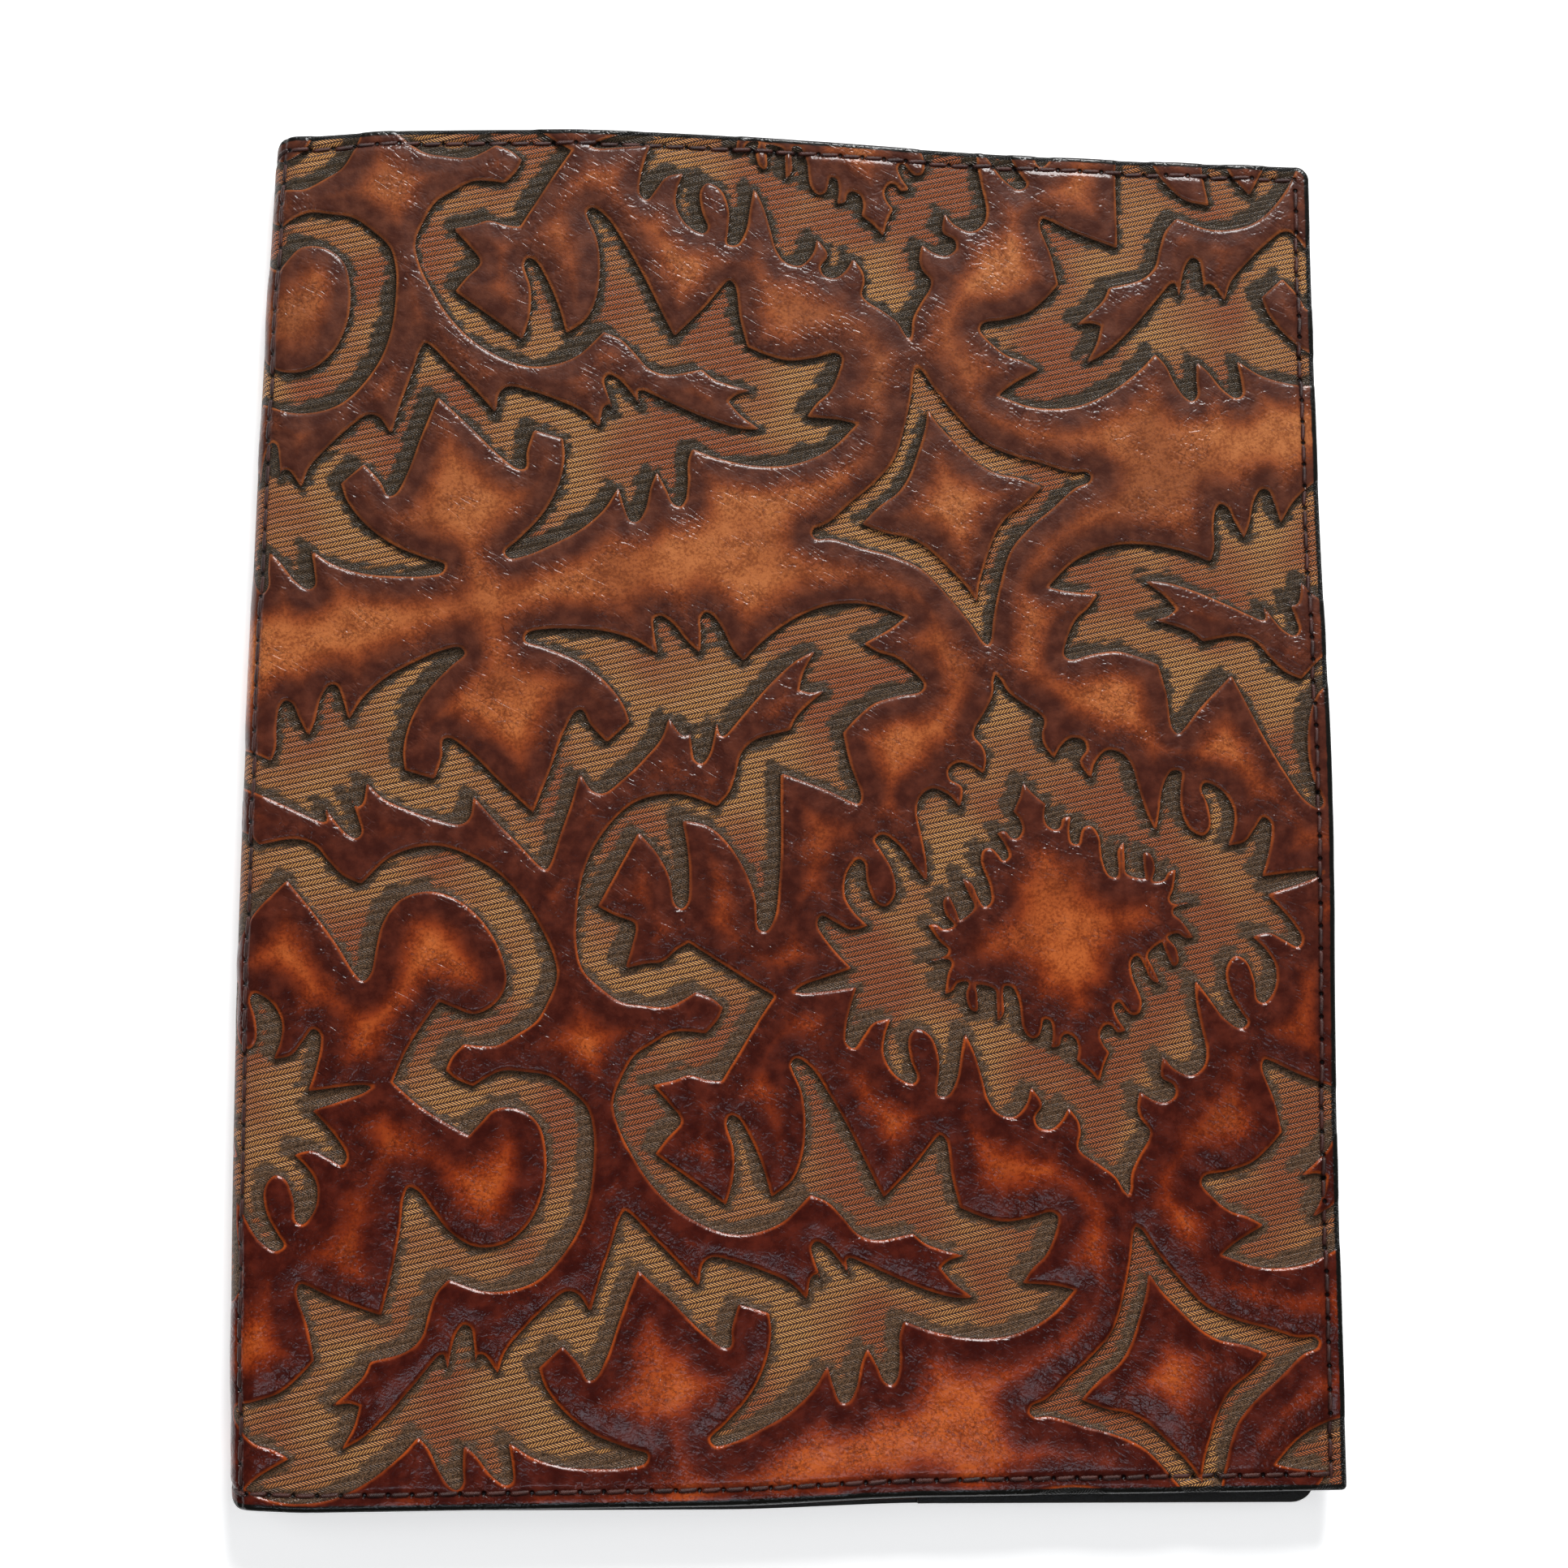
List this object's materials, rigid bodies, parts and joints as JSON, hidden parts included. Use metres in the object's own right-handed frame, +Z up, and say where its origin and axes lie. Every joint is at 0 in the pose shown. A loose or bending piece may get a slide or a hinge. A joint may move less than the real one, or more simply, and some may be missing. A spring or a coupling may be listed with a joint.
{
  "type": "leather notebook cover",
  "caption": "Slim fold-over leather cover for a composition notebook, deeply embossed outside, with a sewn pocket inside each panel and a spine that folds open flat.",
  "frame": {"origin": "under the middle of the closed cover, on the surface that it lies on", "axes": "+X from the spine fold to the free edge, +Y up the page, +Z up, out of the front cover"},
  "size_m": [0.206, 0.262, 0.0105],
  "materials": {
    "outer_leather": "embossed leather, antiqued brown and amber over green-black recesses, glossy, with black painted edges",
    "lining": "thin smooth dark brown lining leather, satin",
    "pocket": "smooth brown leather, satin",
    "board": "thin stiffening sheet, hidden",
    "thread": "waxed dark brown twisted thread"
  },
  "bodies": {
    "back": {"back_leather": "outer_leather", "back_board": "board", "back_lining": "lining", "back_pocket": "pocket", "back_pocket_margin": "pocket", "back_outer_thread": "thread", "back_inner_thread": "thread", "back_hem_thread": "thread"},
    "spine": {"spine_leather": "outer_leather", "spine_lining": "lining", "spine_thread": "thread"},
    "front": {"front_leather": "outer_leather", "front_board": "board", "front_lining": "lining", "front_pocket": "pocket", "front_pocket_margin": "pocket", "front_outer_thread": "thread", "front_inner_thread": "thread", "front_hem_thread": "thread"}
  },
  "joints": [
    {"name": "spine_fold", "type": "hinge", "parent": "back", "child": "spine", "pos_m": [-0.1022, 0, 0.0008], "axis": [0, -1, 0], "range_deg": [0, 90]},
    {"name": "front_fold", "type": "hinge", "parent": "spine", "child": "front", "pos_m": [-0.1022, 0, 0.0097], "axis": [0, -1, 0], "range_deg": [0, 90]}
  ],
  "couplings": [
    {"joint": "front_fold", "follows": "spine_fold", "ratio": 1}
  ]
}
